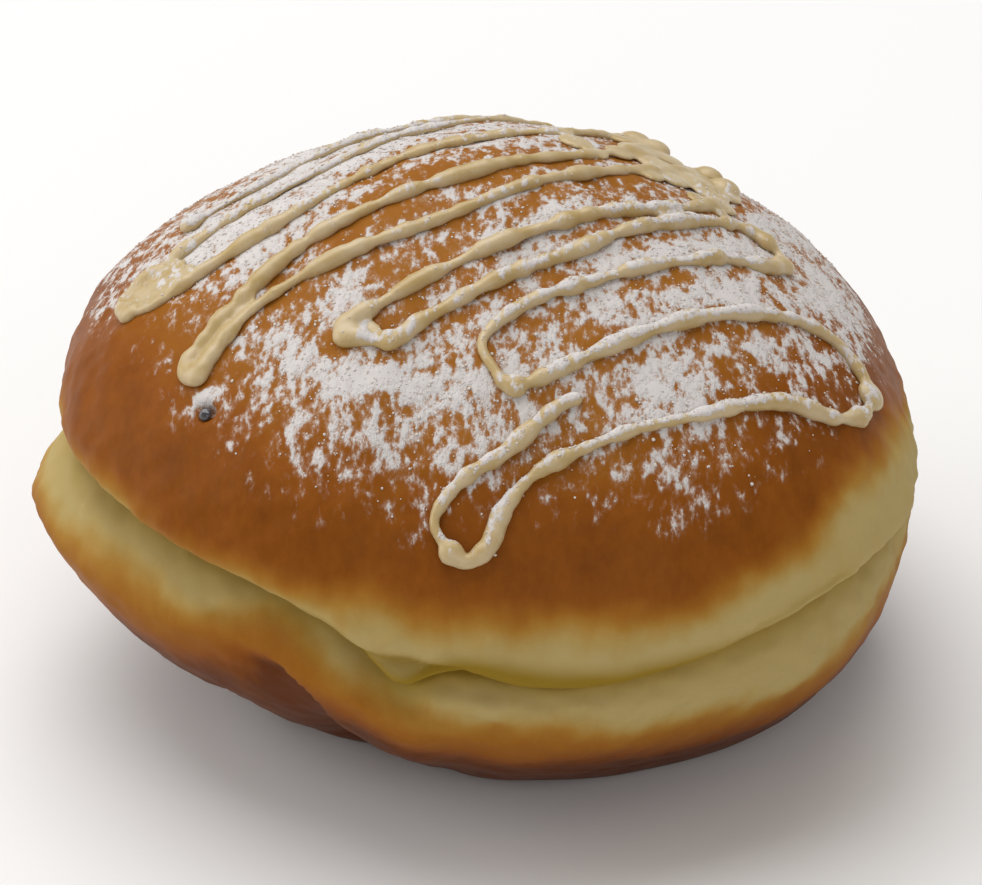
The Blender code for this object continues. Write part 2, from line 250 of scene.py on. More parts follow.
# Dusted sugar on the dough: an even cover as far as a reach that changes with the bearing, with
# thicker patches and bare ones, each (x, y, half width, half depth, thickness) from the bun's axis
EVEN_COVER = 0.46
COVER_REACH = (
    (0, 45), (45, 45), (90, 45), (135, 45), (180, 42), (188, 39.5), (200, 36), (210, 34), (229, 36),
    (250, 36), (270, 35), (287, 35), (297, 38.5), (312, 38), (322, 39), (335, 40), (345, 41.5),
)
COVER_FADE = 10.0
# Sparse specks further down: their cover by bearing, and how far past the reach they go
SPECK_COVER = ((0, 0.12), (180, 0.06), (215, 0.10), (232, 0.23), (335, 0.22))
SPECK_REACH = 8.0
# Degrees above the crust's edge where sugar may start, and over which it comes in
SUGAR_ABOVE_EDGE = 2.0
SUGAR_EDGE_FADE = 8.0
DUST = (
    (-26, -3, 8.5, 5.5, 1.0), (-22, 6, 9, 6, 0.45), (-15, 13.5, 9, 8, 0.9), (0, 22, 26, 10, 0.6),
    (28, 10, 8, 9, 0.5), (33, -1, 5, 6, 0.6), (-14, -20, 3.2, 2.6, 0.45), (-27.2, -26.2, 1.3, 0.9, 1.0),
    (-18.5, -26, 4.5, 3.6, 0.7), (-10, -29, 7, 3.2, 0.8), (1, -31.5, 3.5, 3.5, 0.9), (8, -29, 5, 3, 0.6),
    (11, -16, 4, 4, 0.85), (6, -10.5, 4, 3, 1.0), (1, -15.5, 3, 3, 0.75), (22, -12, 6, 5, 1.0),
    (22, -7, 4, 3.5, 0.8), (31, -5, 5, 4, 0.7), (17, -25, 3.5, 4, 0.65), (12, -21, 4, 3, 0.75),
    (21, -22, 5, 3.5, 0.65), (-14, 6, 10, 7, 0.6), (4, -33, 4, 3, 0.5),
    (14, -33, 5, 3, 0.5), (-4, -31.5, 3, 2, 0.5), (-10, -34, 6, 3, 0.3), (20, -31, 6, 3.5, 0.5),
    (0, -38, 1.5, 2.5, 0.6), (-22, -10, 5, 4, 0.55), (32, -14, 4, 3.5, 0.55), (12, 4, 8, 3, 0.4),
    (27, 3, 5, 4, 0.55), (-6, 9, 8, 4, 0.4), (-4, -24, 2.5, 2, 0.6), (-13, -35.5, 5, 3, 0.5),
    (-18, -34.3, 3, 2.5, 0.35), (-5.5, -38.5, 3, 2.5, 0.4), (16, -33.5, 4, 2.5, 0.6),
    (29, -22.6, 3.5, 2.5, 0.6), (31, -28, 3, 2.5, 0.35), (12.8, -13.5, 3, 2, 0.5), (22, -3, 4, 2.5, 0.5),
    (21, -12, 3.5, 3, 0.4), (16, -31.5, 3, 2, 0.4), (1, -31.5, 2.5, 2, 0.4),
)
BARE = (
    (-9, -1, 5, 3.5, 0.6), (-4, -4, 5, 3.5, 0.6), (1, -7, 3.5, 2, 0.6), (13, 2, 6, 3, 0.5),
    (-4, -12, 3, 3, 0.6), (-14, -12, 3, 3, 0.5), (-9, -8, 3.5, 3, 0.5), (6, -16, 1.5, 2, 0.4),
    (-19, -17, 3, 3, 0.5), (-30, -17, 5, 5, 0.5), (-36, -14, 4, 6, 0.85), (-9, -21, 2.5, 2, 0.7),
    (26, -25, 4, 2, 0.7), (34, -20, 2.5, 3, 0.5), (16, -17, 2, 1.5, 0.4), (5, 1.5, 4, 2.5, 0.4),
    (11, -24, 2.2, 2, 0.6), (-5, -36, 4, 3, 0.8), (-21, -30.5, 4, 2.5, 0.5), (-9, -16.5, 3, 2.5, 0.4),
    (6, -17.5, 2.5, 3, 0.6), (-16, 21, 3, 2, 0.3),
    (17, 14, 4, 4, 0.6), (-29, 11, 5, 5, 0.35), (-35, -6, 3, 4, 0.4), (-4, -28.5, 2, 2, 0.3),
    (1, -9, 3, 2, 0.5),
    (-22.8, -25, 2.2, 2, 0.6), (-10.7, -31, 2, 1.5, 0.5), (11.4, -31.2, 2.2, 2, 0.7),
    (31, -12, 3, 2.5, 0.4), (1, -8, 3, 2.5, 0.4), (14, -21.4, 2, 1.5, 0.4), (18.8, -37, 3, 2, 0.5),
    (12, -35, 6, 3, 0.5), (20, 12, 4, 4, 0.4), (26, -23.5, 4, 2, 0.4), (21, -24, 2.5, 2, 0.5),
    (-40, -6, 4, 4, 0.4), (-14, -24.4, 3, 1.5, 0.95),
    (-15, -34.5, 4, 2, 0.5),
)
# Dusted sugar on the icing, the same way
ICING_DUST = (
    (20, -30, 18, 9, 0.85), (26, -16, 12, 6, 0.85), (0, -38, 8, 5, 0.65), (8, -22, 12, 6, 0.6),
    (20, -8, 9, 7, 0.75), (-24, 6, 14, 11, 0.85), (25, 5, 6, 6, 0.4), (-2, -8, 12, 6, 0.25),
    (-32, -9, 4, 3, 0.25), (-10, -25, 5, 3, 0.5), (-4, 14, 12, 8, 0.7),
)
# The upward part of the icing's normal at which dust starts, and its range
DUST_SLOPE = 0.15
DUST_SLOPE_FADE = 0.6
# Strips left bare below the strands: how far out, how wide and how much
BARE_SIDE = 1.8
BARE_WIDTH = 1.1
BARE_SHARE = 0.5
BARE_STEP = 1.2

# How the dusted sugar breaks up: each noise as (contrast, size, stretch, detail, roughness), and the
# levels where sugar starts and is full
BLOTCHES = (2.9, 2.8, 2.0, 6.0, 0.74)
FLECKS = (1.9, 0.95, 2.6, 1.0, 0.5)
GRAINS = (1.3, 0.42, 2.2, 2.0, 0.6)
SUGAR_LEVELS = (0.30, 0.80)
SUGAR_HIGHEST = 1.3
# Fine unevenness of every surface: its two noises as (size, stretch, detail, roughness)
SWELL_NOISE = (1.6, 1.6, 3.0, 0.5)
GRAIN_NOISE = (0.28, 1.0, 2.0, 0.6)
# Power of a noise's stretch that it gets from front to back
FRONT_STRETCH = 0.6
FILM_LEVELS = (0.0, 0.85)
FILM_SHARE = 0.36
COVER_EDGE = (0.01, 0.06)
COVER_GAIN = 1.45
COVER_SINK = 0.17

# Lumps of sugar
DOUGH_LUMPS = 6800
ICING_LUMPS = 900
LUMP_SIZE = 0.085
LUMP_SPREAD = 0.38
LUMP_FLATNESS = 0.6
LUMP_ROUGHNESS = 0.18
LUMP_LIFT = 0.3
LUMP_LIMITS = (-2, 2.2)

# Bead of filling in the pit, as shares of the pit's radius, and the wavering of its surface
BEAD_RADIUS = 0.54
BEAD_SINK = 0.55
BEAD_WAVER = 0.06
BEAD_WAVELENGTH = 1.2

# Linear colours with alpha
SUGAR_COLOUR = (0.635, 0.595, 0.575, 1)
THIN_SUGAR_COLOUR = (0.54, 0.41, 0.33, 1)
ICING_COLOUR = (0.55, 0.43, 0.25, 1)
ICING_DEEP_COLOUR = (0.46, 0.325, 0.13, 1)
BROWNING_STEPS = (
    (0.00, (0.445, 0.335, 0.135, 1)),
    (0.16, (0.42, 0.28, 0.085, 1)),
    (0.36, (0.375, 0.19, 0.033, 1)),
    (0.58, (0.315, 0.12, 0.014, 1)),
    (0.80, (0.24, 0.07, 0.007, 1)),
    (1.00, (0.11, 0.027, 0.003, 1)),
)
# Painted shade that the seam and the thin creases blend towards, for the shadow under the cap's lip
CREASE_SHADE_COLOUR = (0.255, 0.155, 0.010, 1)
# Sugar turns a little warmer in places; the filling is nearly black, with a blue-grey cast
SUGAR_SHADES = (SUGAR_COLOUR, (0.66, 0.58, 0.50, 1))
FILLING_SHADES = ((0.035, 0.035, 0.045, 1), (0.10, 0.085, 0.085, 1))

# Soft patches of a second colour: (noise size, levels where it starts and is full)
ICING_PATCHES = (3.5, 0.35, 0.7)
SUGAR_PATCHES = (0.9, 0.3, 0.75)
FILLING_PATCHES = (0.6, 0.35, 0.7)
# Fine relief of each surface: (swell, grain, bump distance, strength); and the sugar's bump on it
DOUGH_RELIEF = (0.6, 0.3, 0.12, 0.6)
DOUGH_SUGAR_BUMP = (0.3, 0.6)
ICING_RELIEF = (0.5, 0.15, 0.15, 0.5)
ICING_SUGAR_BUMP = (0.25, 0.6)
SUGAR_RELIEF = (0.2, 1.0, 0.1, 0.6)
FILLING_RELIEF = (0.8, 0.3, 0.1, 0.4)

# Unevenness of the browning: (contrast, size, stretch, detail, roughness)
BROWN_NOISES = ((0.24, 4.5, 1.6, 4.0, 0.6), (0.10, 0.8, 1.8, 3.0, 0.5))
# Roughness: the crust's own, where it turns matte from brown to pale, and what sugar adds
CRUST_ROUGHNESS = 0.38
CRUST_GLOSS = (1.2, -0.4)
CRUST_MATTE = 0.75
ICING_ROUGHNESS = 0.34
SUGAR_ROUGHER = 0.5

# View: the target's place in the picture and the eye, fitted to the picture's outline
PICTURE_WIDTH = 982
PICTURE_HEIGHT = 885
TARGET_PIXEL = (478.1, 476.6)
TARGET_HEIGHT = 20.0
EYE_DISTANCE = 420.0
EYE_ELEVATION = 29.0
FOCAL_PIXELS = 4048.8
SENSOR_WIDTH = 36.0
NEAREST = 0.01

# Light and floor
FLOOR_SIZE = 3.0
FLOOR_GAP = 0.05
FLOOR_COLOUR = (0.84, 0.83, 0.82, 1)
SKY_COLOUR = (1.0, 0.99, 0.98, 1)
SKY_STRENGTH = 0.38
# Each lamp: (name, place in metres, size in metres, power in watts)
LAMPS = (
    ("overhead", (-0.25, 0.50, 1.50), 1.50, 21.0),
    ("left", (-0.90, 0.10, 0.45), 0.70, 3.4),
    ("front", (0.30, -1.20, 0.60), 0.90, 3.0),
)


def smooth_step(value):
    """Zero below 0, one above 1 and a smooth rise between: 3v^2 - 2v^3."""
    value = np.clip(value, 0, 1)
    return value * value * (3 - 2 * value)


def bell(distance, width):
    """One at no distance, falling as the exponential of minus the squared share of the width."""
    return np.exp(-((distance / width) ** 2))


def ripples(points, wavelength, seed):
    """Even noise of about unit spread: a sum of sine waves in random directions and phases, whose
    lengths lie within a third of the wavelength."""
    draw = np.random.default_rng(seed)
    direction = draw.normal(size=(3, RELIEF_WAVES))
    direction /= np.linalg.norm(direction, axis=0)
    rate = 2 * math.pi / (wavelength * draw.uniform(*WAVE_LENGTHS, RELIEF_WAVES))
    phase = draw.uniform(0, 2 * math.pi, RELIEF_WAVES)
    return np.sin(points @ (direction * rate) + phase).sum(-1) * math.sqrt(2 / RELIEF_WAVES)


def by_bearing(bearing, keys):
    """The value at each bearing of a closed smooth curve through the keys: a cubic between each two
    keys, with slopes from their neighbours."""
    at = np.array([key[0] for key in keys], float)
    value = np.array([key[1] for key in keys], float)
    at = np.concatenate([at - 360, at, at + 360])
    value = np.tile(value, 3)
    slope = np.gradient(value, at)
    turn = np.mod(bearing, 360)
    i = np.searchsorted(at, turn, side="right") - 1
    gap = at[i + 1] - at[i]
    s = (turn - at[i]) / gap
    near = (1 + 2 * s) * (1 - s) ** 2 * value[i] + s * s * (3 - 2 * s) * value[i + 1]
    return near + gap * (s * (1 - s) ** 2 * slope[i] - s * s * (1 - s) * slope[i + 1])


def turn_between(bearing, centre):
    """Signed degrees from the centre bearing, between -180 and 180."""
    return (bearing - centre + 180) % 360 - 180


def superellipse(latitude, across, upright, power):
    """The distance from the centre of a superellipse, at a latitude in degrees."""
    level = np.abs(np.cos(np.radians(latitude))) / across
    rise = np.abs(np.sin(np.radians(latitude))) / upright
    return (level ** power + rise ** power) ** (-1 / power)


def from_line(bearing, latitude, corners):
    """Degrees on the surface from the nearest point of a line through (bearing, latitude) corners."""
    nearest = np.inf
    for start, end in zip(corners, corners[1:]):
        run = (end[0] - start[0], end[1] - start[1])
        off_x = turn_between(bearing, start[0])
        off_y = latitude - start[1]
        share = np.clip((off_x * run[0] + off_y * run[1]) / (run[0] ** 2 + run[1] ** 2), 0, 1)
        nearest = np.minimum(nearest, np.hypot(off_x - share * run[0], off_y - share * run[1]))
    return nearest


def bun_radius(bearing, latitude):
    """Distance from the bun's centre: an upper and a lower superellipse blended at the seam, less a
    groove along the seam, dents under the side and folds, plus slow waves."""
    seam = by_bearing(bearing, SEAM_LATITUDE)
    above = latitude - seam
    cap_latitude = -CAP_START + (90 + CAP_START) * above / (90 - seam)
    cap = superellipse(cap_latitude, by_bearing(bearing, CAP_RADIUS), CAP_RISE, CAP_POWER)
    lobe_start = by_bearing(bearing, LOBE_START)
    lobe_latitude = lobe_start + (90 + lobe_start) * above / (90 + seam)
    lobe = superellipse(
        lobe_latitude, by_bearing(bearing, LOBE_RADIUS), LOBE_DROP, by_bearing(bearing, LOBE_POWER)
    )
    radius = lobe + (cap - lobe) / (1 + np.exp(-above / LIP_BLEND))
    reach = np.where(above > 0, GROOVE_ABOVE, by_bearing(bearing, GROOVE_BELOW))
    radius -= by_bearing(bearing, GROOVE_DEPTH) * np.exp(-((np.abs(above) / reach) ** GROOVE_POWER))
    low = np.clip((DENT_TOP - latitude) / DENT_FADE, 0, 1)
    for centre, depth, width in UNDER_DENTS:
        radius -= depth * low * bell(turn_between(bearing, centre), width)
    for start, end, width, depth in FOLDS:
        radius -= depth * bell(from_line(bearing, latitude, (start, end)), width)
    for depth, around, upward, phase in WAVES:
        turn = np.sin(around * np.radians(bearing) + phase)
        rise = np.cos(upward * np.radians(latitude) + phase)
        radius += depth * turn * rise * np.cos(np.radians(latitude))
    return radius


def place(bearing, latitude, radius):
    """Points in millimetres at a radius from the bun's centre, with the lower edge of the cap drooping
    a little over the seam."""
    level = radius * np.cos(np.radians(latitude))
    above = latitude - by_bearing(bearing, SEAM_LATITUDE)
    x = PLACE_X + level * np.cos(np.radians(bearing))
    y = PLACE_Y + level * np.sin(np.radians(bearing))
    z = CENTRE_HEIGHT + radius * np.sin(np.radians(latitude)) - LIP_DROOP * bell(above - LIP_AT, LIP_WIDTH)
    return np.stack(np.broadcast_arrays(x, y, z), axis=-1)


def bun_points(bearing, latitude):
    """Points of the bun's main form, without its fine relief."""
    return place(bearing, latitude, bun_radius(bearing, latitude))


def halve(low, high, beyond):
    """The value between low and high at which beyond(value) turns from false to true, by halving."""
    for _ in range(HALVINGS):
        middle = (low + high) / 2
        past = beyond(middle)
        high = np.where(past, middle, high)
        low = np.where(past, low, middle)
    return (low + high) / 2


def base_latitude(bearing):
    """The latitude at which the surface comes down to the ground."""
    low, high = (np.full_like(bearing, end) for end in GROUND_LATITUDES)
    return halve(low, high, lambda latitude: bun_points(bearing, latitude)[..., 2] > 0)


def on_cap(x, y):
    """The points of the cap at (x, y) from the bun's axis, and the outward normals there."""
    bearing = np.degrees(np.arctan2(y, x)) % 360
    reach = np.hypot(x, y)

    def within(latitude):
        return bun_radius(bearing, latitude) * np.cos(np.radians(latitude)) < reach

    latitude = halve(np.full_like(reach, LOWEST_ON_CAP), np.full_like(reach, 90.0), within)
    point = bun_points(bearing, latitude)
    east = bun_points(bearing + NORMAL_STEP, latitude) - point
    north = bun_points(bearing, latitude + NORMAL_STEP) - point
    normal = np.cross(east, north)
    return point, normal / np.linalg.norm(normal, axis=-1, keepdims=True)


def smooth_line(corners, step):
    """Evenly spaced points, about one step apart, on a smooth cubic curve through the corners."""
    corners = np.array(corners, float)
    ends = np.vstack([2 * corners[0] - corners[1], corners, 2 * corners[-1] - corners[-2]])
    t = np.linspace(0, 1, CURVE_POINTS, endpoint=False)[:, None]
    parts = []
    for a, b, c, d in zip(ends, ends[1:], ends[2:], ends[3:]):
        bend = t * (2 * a - 5 * b + 4 * c - d + t * (3 * (b - c) + d - a))
        parts.append(b + 0.5 * t * (c - a + bend))
    fine = np.vstack(parts + [corners[-1:]])
    run = np.concatenate([[0], np.cumsum(np.linalg.norm(np.diff(fine, axis=0), axis=1))])
    at = np.linspace(0, run[-1], max(2, round(run[-1] / step) + 1))
    return np.stack([np.interp(at, run, fine[:, k]) for k in range(2)], axis=-1)


def dust_thickness(x, y, patches):
    """Sugar cover from 0 to 1 at (x, y) from the bun's axis: what soft oval patches leave open is
    multiplied, and the rest is covered."""
    open_share = 1.0
    for patch_x, patch_y, across, along, thickness in patches:
        off = ((x - patch_x) / across) ** 2 + ((y - patch_y) / along) ** 2
        open_share = open_share * (1 - thickness * np.exp(-off))
    return 1 - open_share


def dough_cover(x, y):
    """Sugar cover of the dough at (x, y) from the bun's axis: the even cover within its reach and the
    thicker patches leave a share open, and the bare patches and the strips below strands open more.
    Sparse specks go on past the reach."""
    bearing = np.degrees(np.arctan2(y, x)) % 360
    left = by_bearing(bearing, COVER_REACH) - np.hypot(x, y)
    within = smooth_step(left / COVER_FADE + 0.5)
    open_share = (1 - EVEN_COVER * within) * (1 - dust_thickness(x, y, DUST))
    cover = (1 - open_share) * (1 - dust_thickness(x, y, BARE))
    cover = cover * (1 - BARE_SHARE * below_strands(x, y))
    specks = by_bearing(bearing, SPECK_COVER) * smooth_step(left / SPECK_REACH + 1)
    return np.maximum(cover, specks)


def below_strands(x, y):
    """One just in front of and below a strand, where the dough stays bare, and zero away from it: a
    bell of the distance to the zigzag, shifted towards the outside of the bun."""
    inward = 1 - BARE_SIDE / np.maximum(np.hypot(x, y), 1.0)
    x_in = x * inward
    y_in = y * inward
    nearest = np.full(np.shape(x), np.inf)
    for spot_x, spot_y in smooth_line(DRIZZLE, BARE_STEP):
        nearest = np.minimum(nearest, (x_in - spot_x) ** 2 + (y_in - spot_y) ** 2)
    return np.exp(-nearest / BARE_WIDTH ** 2)


def grid_faces(rows, columns):
    """Quads of a grid whose columns close round, and triangles from a pole below its first row and a
    pole above its last, whose indices follow the grid's."""
    here = np.arange(columns)
    after = (here + 1) % columns
    row = np.arange(rows - 1)[:, None] * columns
    quads = np.stack([row + here, row + after, row + columns + after, row + columns + here], axis=-1)
    below = np.full(columns, rows * columns)
    last = (rows - 1) * columns
    lower_fan = np.stack([below, after, here], axis=-1)
    upper_fan = np.stack([below + 1, last + here, last + after], axis=-1)
    return quads.reshape(-1, 4).tolist() + lower_fan.tolist() + upper_fan.tolist()


def add_object(name, data, spot=(0, 0, 0), turn=(0, 0, 0)):
    """An object in the scene that shows the data at a spot, turned by three angles."""
    piece = bpy.data.objects.new(name, data)
    piece.location = spot
    piece.rotation_euler = turn
    bpy.context.scene.collection.objects.link(piece)
    return piece


def make_object(name, points, faces, material):
    """A smooth-shaded mesh object at the origin, from points in millimetres."""
    mesh = bpy.data.meshes.new(name)
    mesh.from_pydata((np.asarray(points) * MM).tolist(), [], faces)
    mesh.shade_smooth()
    mesh.materials.append(material)
    return add_object(name, mesh)


def set_values(piece, name, values):
    """Keeps one number for each vertex as a named attribute, which the materials read."""
    attribute = piece.data.attributes.new(name, "FLOAT", "POINT")
    attribute.data.foreach_set("value", np.asarray(values, np.float32).ravel())


def read_values(items, label, width, kind=np.float64):
    """One property of all items as an array: a row for each item, as wide as the property."""
    values = np.empty(len(items) * width, kind)
    items.foreach_get(label, values)
    return values.reshape(-1, width)


def vertex_points(piece):
    """The piece's vertices in millimetres and its vertex normals, as arrays."""
    vertices = piece.data.vertices
    return read_values(vertices, "co", 3) / MM, read_values(vertices, "normal", 3)


def pale_share(bearing, latitude):
    """One on the pale band between the two browned parts, zero on the crust."""
    upper = smooth_step((by_bearing(bearing, UPPER_BROWN) - latitude) / UPPER_FADE + 0.5)
    lower = smooth_step((latitude - by_bearing(bearing, LOWER_BROWN)) / LOWER_FADE + 0.5)
    return upper * lower


def beside_fold(bearing, latitude):
    """One just left of the fold's sharp edge, fading to zero further left, and zero right of it."""
    corners = np.array(sorted(FOLD_EDGE))
    left = np.interp(latitude, corners[:, 0], corners[:, 1]) - bearing
    inside = smooth_step(left / FOLD_EDGE_WIDTH + 0.5) * smooth_step(1 - left / FOLD_FADE)
    return inside * smooth_step((FOLD_TOP - latitude) / FOLD_TOP_FADE)


def fine_relief(points, bearing, latitude):
    """Height of the small unevenness: noise of three sizes, stronger on the pale band, less the thin
    creases, the cut along the seam, the hollow beside the fold, an even sink that keeps it inside the
    solid, and the pit with its rim. All but the pit fade to nothing at the ground."""
    pale = pale_share(bearing, latitude)
    height = 0.0
    for i, (on_crust, on_band, wavelength, depth) in enumerate(RELIEF):
        share = on_crust + (on_band - on_crust) * pale
        height = height + depth * share * ripples(points, wavelength, SEED + i)
    for corners, width, depth in CREASES:
        height = height - depth * bell(from_line(bearing, latitude, corners), width)
    above = latitude - by_bearing(bearing, SEAM_LATITUDE)
    height = height - by_bearing(bearing, SEAM_CUT_DEPTH) * bell(above, SEAM_CUT_WIDTH)
    height = height - FOLD_DEPTH * beside_fold(bearing, latitude) - RELIEF_SINK
    height = height * smooth_step(points[..., 2] / BASE_FADE)
    pit = bun_points(np.array(PIT_BEARING), np.array(PIT_LATITUDE))
    away = np.linalg.norm(points - pit, axis=-1)
    rim = PIT_RIM * bell(away - PIT_RADIUS, PIT_RIM_WIDTH)
    return height - PIT_RADIUS * bell(away, PIT_REACH * PIT_RADIUS) + rim


def browning_and_shade(bearing, latitude, points):
    """How far the dough is fried, from 0 on the pale band to about 1, plus painted shade: rising above
    the upper edge of the band to the cap's brown, deepest low on the cap, and rising below its lower
    edge to the base, with painted shade added in the hollow of the fold. The edges waver with noise."""
    waver = 0.0
    for i, (depth, wavelength) in enumerate(BROWN_WAVER):
        waver = waver + depth * ripples(points, wavelength, SEED + 20 + i)
    over = latitude + waver - by_bearing(bearing, UPPER_BROWN)
    deepest = CAP_DEEPER * bell(over - CAP_DEEPER_AT, CAP_DEEPER_WIDTH)
    cap = smooth_step((over + UPPER_BLEND) / UPPER_FADE) * (CAP_BROWN + deepest)
    under = by_bearing(bearing, LOWER_BROWN) - latitude + waver
    lobe = by_bearing(bearing, LOBE_GOLD) * smooth_step((under + LOWER_BLEND) / LOWER_FADE)
    lobe = lobe + LOBE_BROWN * smooth_step(under / LOBE_FADE)
    lobe = lobe + BASE_BROWN * smooth_step(1 - points[..., 2] / BASE_EDGE)
    # Painted shade beside the fold, added to the lobe's browning
    return np.maximum(cap, lobe + FOLD_PAINTED_SHADE * beside_fold(bearing, latitude))


def crease_shade(bearing, latitude):
    """Share of painted shade: near one in the seam and in the thin creases, falling off quickly above
    the seam and slowly below it, and zero away from them."""
    above = latitude - by_bearing(bearing, SEAM_LATITUDE)
    on_cap_side = smooth_step((by_bearing(bearing, SEAM_SHADE_ABOVE) - above) / SEAM_SHADE_EDGE)
    on_lobe = bell(above, by_bearing(bearing, SEAM_SHADE_BELOW))
    shade = SEAM_SHADE * np.where(above > 0, on_cap_side, on_lobe)
    for corners, width, depth in CREASES:
        away = from_line(bearing, latitude, corners)
        shade = np.maximum(shade, CREASE_SHADE * depth * bell(away, CREASE_SHADE_WIDTH * width))
    return shade


def make_dough(material):
    """The dough: rows of latitude from the ground up to the apex, gathered at the seam, with the main
    form's radius plus the fine relief, and flat rows inside the base. Each vertex keeps its browning
    with painted shade beside the fold, its painted shade in the seam and creases, and its sugar cover."""
    bearing = np.arange(COLUMNS) * 360 / COLUMNS
    seam = by_bearing(bearing, SEAM_LATITUDE)
    side = np.linspace(1, 0, LOWER_ROWS, endpoint=False)[:, None] ** GATHER
    rise = np.linspace(0, 1, UPPER_ROWS, endpoint=False)[:, None] ** GATHER
    latitude = np.vstack([seam + (base_latitude(bearing) - seam) * side, seam + (90 - seam) * rise])
    bearing = np.broadcast_to(bearing, latitude.shape)
    radius = bun_radius(bearing, latitude)
    smooth = place(bearing, latitude, radius)
    points = place(bearing, latitude, radius + fine_relief(smooth, bearing, latitude))
    points[0, :, 2] = 0
    inward = np.linspace(0, 1, FLAT_ROWS, endpoint=False)[1:, None, None]
    base_centre = np.array([PLACE_X, PLACE_Y, 0.0])
    flat = base_centre + (points[0] - base_centre) * inward
    apex = bun_points(np.array([0.0]), np.array([90.0]))
    rows = np.vstack([flat, points])
    everything = np.vstack([rows.reshape(-1, 3), base_centre[None], apex])
    dough = make_object("dough", everything, grid_faces(len(rows), COLUMNS), material)

    def over_all(values, in_base, at_apex):
        base = np.full(flat.shape[:2], in_base)
        return np.concatenate([np.vstack([base, values]).ravel(), [in_base, at_apex]])

    brown_and_shade = browning_and_shade(bearing, latitude, smooth)
    x = smooth[..., 0] - PLACE_X
    y = smooth[..., 1] - PLACE_Y
    above_edge = latitude - by_bearing(bearing, UPPER_BROWN)
    cover = dough_cover(x, y) * smooth_step((above_edge - SUGAR_ABOVE_EDGE) / SUGAR_EDGE_FADE)
    set_values(dough, "brown_and_shade", over_all(brown_and_shade, 1.0, CAP_BROWN))
    set_values(dough, "painted_crease_shade", over_all(crease_shade(bearing, latitude), 0.0, 0.0))
    set_values(dough, "cover", over_all(cover, 0.0, cover[-1].mean()))
    return dough


def strand_surface(line):
    """A tube along the drizzle's line: an oval in the plane of the surface's normal and the sideways
    direction, with its own height above and depth below the middle, whose size swells and thins along
    the way, closing to a point at both ends. It lies lower behind STRAND_LOW_FROM, where it has run."""
    points, normals = on_cap(line[:, 0], line[:, 1])
    tangent = np.gradient(points, axis=0)
    tangent /= np.linalg.norm(tangent, axis=1, keepdims=True)
    side = np.cross(normals, tangent)
    swell = 1.0
    for i, (share, wavelength) in enumerate(STRAND_SWELL):
        swell = swell + share * ripples(points, wavelength, SEED + 30 + i)
    from_end = np.minimum(np.arange(len(line)), np.arange(len(line))[::-1]) * LINE_STEP
    taper = np.sqrt(1 - (1 - np.clip(from_end / STRAND_HALF_WIDTH, 0, 1)) ** 2)
    size = (np.clip(swell, *STRAND_SIZES) * np.maximum(taper, STRAND_TIP))[:, None, None]
    turn = np.linspace(0, 2 * math.pi, STRAND_SIDES, endpoint=False)[None, :, None]
    rise = 1 - STRAND_LOW * smooth_step((line[:, 1] - STRAND_LOW_FROM) / STRAND_LOW_OVER)[:, None]
    across = side[:, None] * STRAND_HALF_WIDTH * np.cos(turn)
    upright = normals[:, None] * np.where(np.sin(turn) > 0, STRAND_HEIGHT * rise[:, None], STRAND_ROOT)
    upright = upright * np.sin(turn)
    middle = points + normals * STRAND_LIFT
    rings = middle[:, None] + (across + upright) * size
    return np.vstack([rings.reshape(-1, 3), middle[:1], middle[-1:]])


def drop_surface(x, y, radius, share=DROP_HEIGHT, lift=DROP_LIFT):
    """A low round drop on the cap: a sphere of latitude rows, whose height is a share of its width and
    whose middle is lifted off the cap."""
    point, normal = (found[0] for found in on_cap(np.array([x], float), np.array([y], float)))
    east = np.cross([0.0, 1.0, 0.0], normal)
    east /= np.linalg.norm(east)
    north = np.cross(normal, east)
    latitude = np.linspace(-90, 90, DROP_ROWS + 2)[1:-1, None, None]
    turn = np.linspace(0, 2 * math.pi, DROP_SIDES, endpoint=False)[None, :, None]
    level = np.cos(np.radians(latitude))
    flat = east * np.cos(turn) + north * np.sin(turn)
    upright = normal * share * np.sin(np.radians(latitude))
    middle = point + normal * lift
    rows = middle + radius * (level * flat + upright)
    poles = middle + radius * share * np.array([-1.0, 1.0])[:, None] * normal
    return np.vstack([rows.reshape(-1, 3), poles])


def fuse(piece):
    """Joins the overlapping surfaces of a piece into one skin of small voxels, then smooths it."""
    skin = piece.modifiers.new("fuse", "REMESH")
    skin.mode = "VOXEL"
    skin.voxel_size = FUSE_SIZE * MM
    soften = piece.modifiers.new("soften", "SMOOTH")
    soften.factor = FUSE_FACTOR
    soften.iterations = FUSE_SMOOTHING
    bpy.context.view_layer.update()
    made = piece.evaluated_get(bpy.context.evaluated_depsgraph_get())
    mesh = bpy.data.meshes.new_from_object(made)
    mesh.name = piece.name
    piece.modifiers.clear()
    piece.data = mesh
    mesh.shade_smooth()


def make_icing(material):
    """The drizzle: the strand's tube, the drops at its turns and the low smears, fused into one skin."""
    line = smooth_line(DRIZZLE, LINE_STEP)
    parts = [strand_surface(line)]
    faces = grid_faces(len(line), STRAND_SIDES)
    drop_faces = grid_faces(DROP_ROWS, DROP_SIDES)
    for drop in (*DROPS, *((*smear, SMEAR_HEIGHT, SMEAR_LIFT) for smear in SMEARS)):
        count = sum(map(len, parts))
        faces += [[corner + count for corner in face] for face in drop_faces]
        parts.append(drop_surface(*drop))
    icing = make_object("icing_drizzle", np.vstack(parts), faces, material)
    fuse(icing)
    points, normals = vertex_points(icing)
    cover = dust_thickness(points[:, 0] - PLACE_X, points[:, 1] - PLACE_Y, ICING_DUST)
    facing_up = smooth_step((normals[:, 2] - DUST_SLOPE) / DUST_SLOPE_FADE)
    set_values(icing, "cover", cover * facing_up)
    return icing


